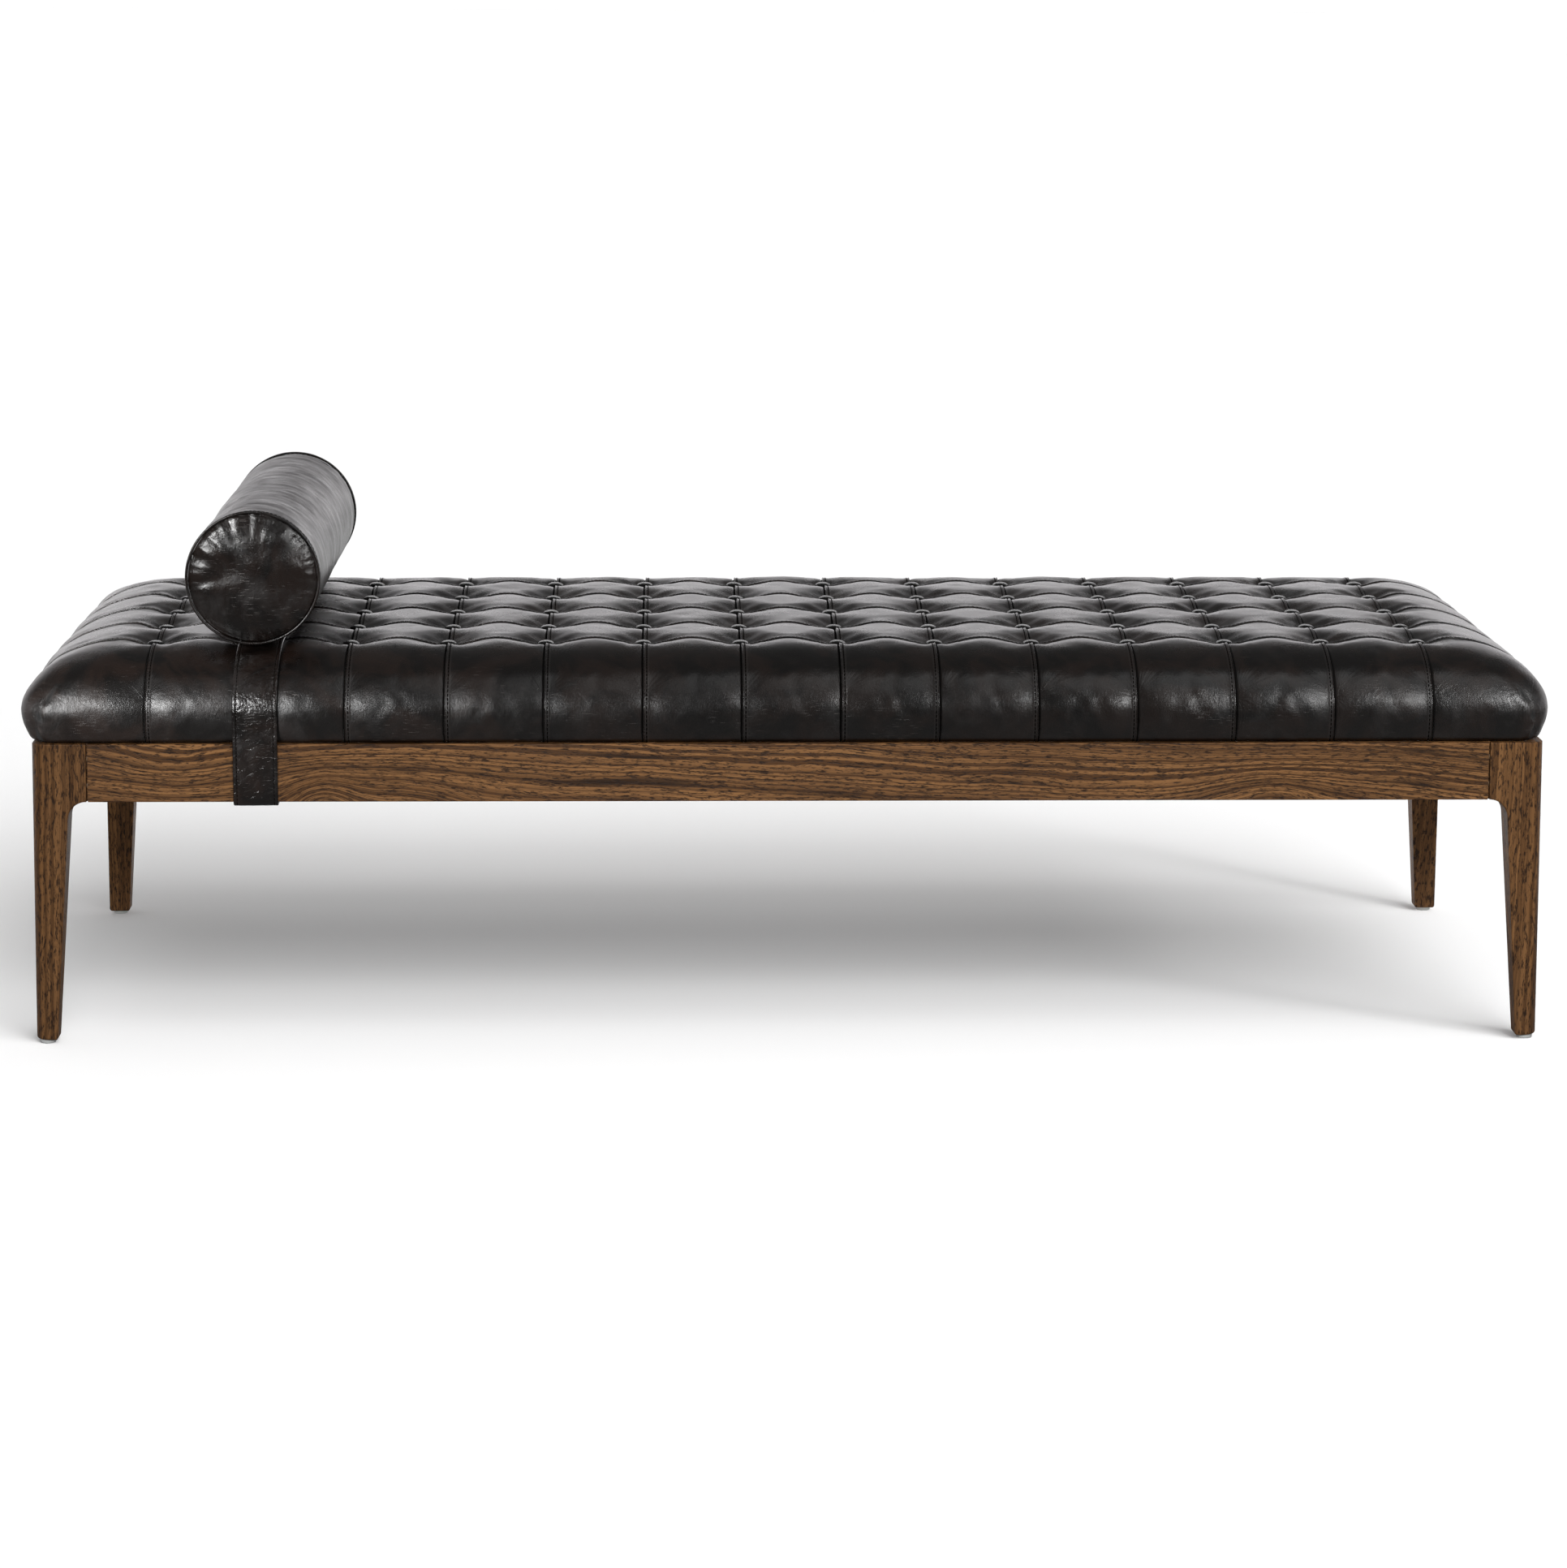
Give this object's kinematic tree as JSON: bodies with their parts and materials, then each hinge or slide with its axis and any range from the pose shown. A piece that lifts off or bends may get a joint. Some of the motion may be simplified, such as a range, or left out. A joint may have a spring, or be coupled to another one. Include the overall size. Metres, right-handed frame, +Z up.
{
  "type": "daybed",
  "caption": "Long backless daybed: button-tufted leather seat on a wooden frame with tapered legs, and a round bolster held by a strap looped around seat and frame.",
  "frame": {"origin": "on the floor, under the middle of the frame", "axes": "+X along the length, the bolster near the -X end; +Y to the back; +Z up"},
  "size_m": [1.96, 0.7866, 0.6845],
  "materials": {
    "walnut_wood": "satin",
    "beech_wood": "matte",
    "pine_wood": "matte",
    "plywood": "matte",
    "white_nylon": "satin",
    "zinc_steel": "satin",
    "foam": "matte",
    "wadding": "matte",
    "black_cloth": "matte",
    "twine": "matte",
    "black_webbing": "matte",
    "espresso_leather": "satin"
  },
  "bodies": {
    "frame": {"cover_staples": "zinc_steel", "cross_rail_1": "pine_wood", "cross_rail_2": "pine_wood", "cross_rail_3": "pine_wood", "cross_rail_4": "pine_wood", "cross_rail_5": "pine_wood", "cross_rail_6": "pine_wood", "cross_rail_screws": "zinc_steel", "dust_cover": "black_cloth", "glide_back_left": "white_nylon", "glide_back_right": "white_nylon", "glide_front_left": "white_nylon", "glide_front_right": "white_nylon", "glide_nails": "zinc_steel", "ledger_back": "pine_wood", "ledger_front": "pine_wood", "ledger_screws": "zinc_steel", "leg_back_left": "walnut_wood", "leg_back_right": "walnut_wood", "leg_front_left": "walnut_wood", "leg_front_right": "walnut_wood", "rail_back": "walnut_wood", "rail_dowels": "beech_wood", "rail_front": "walnut_wood", "rail_left": "walnut_wood", "rail_right": "walnut_wood", "seat_board": "plywood", "seat_board_screws": "zinc_steel", "seat_cover": "espresso_leather", "seat_foam": "foam", "seat_wadding": "wadding", "tuft_buttons": "espresso_leather", "tuft_twines": "twine", "twine_washers": "zinc_steel"},
    "bolster": {"bolster_cap_back": "espresso_leather", "bolster_cap_front": "espresso_leather", "bolster_core": "foam", "bolster_cover": "espresso_leather", "bolster_piping_back": "espresso_leather", "bolster_piping_front": "espresso_leather", "strap_snaps": "zinc_steel", "strap_under_web": "black_webbing", "strap_upper": "espresso_leather"}
  },
  "joints": [
    {"name": "bolster_slide", "type": "slide", "parent": "frame", "child": "bolster", "axis": [1, 0, 0], "range_m": [-0.145, 1.515]}
  ]
}
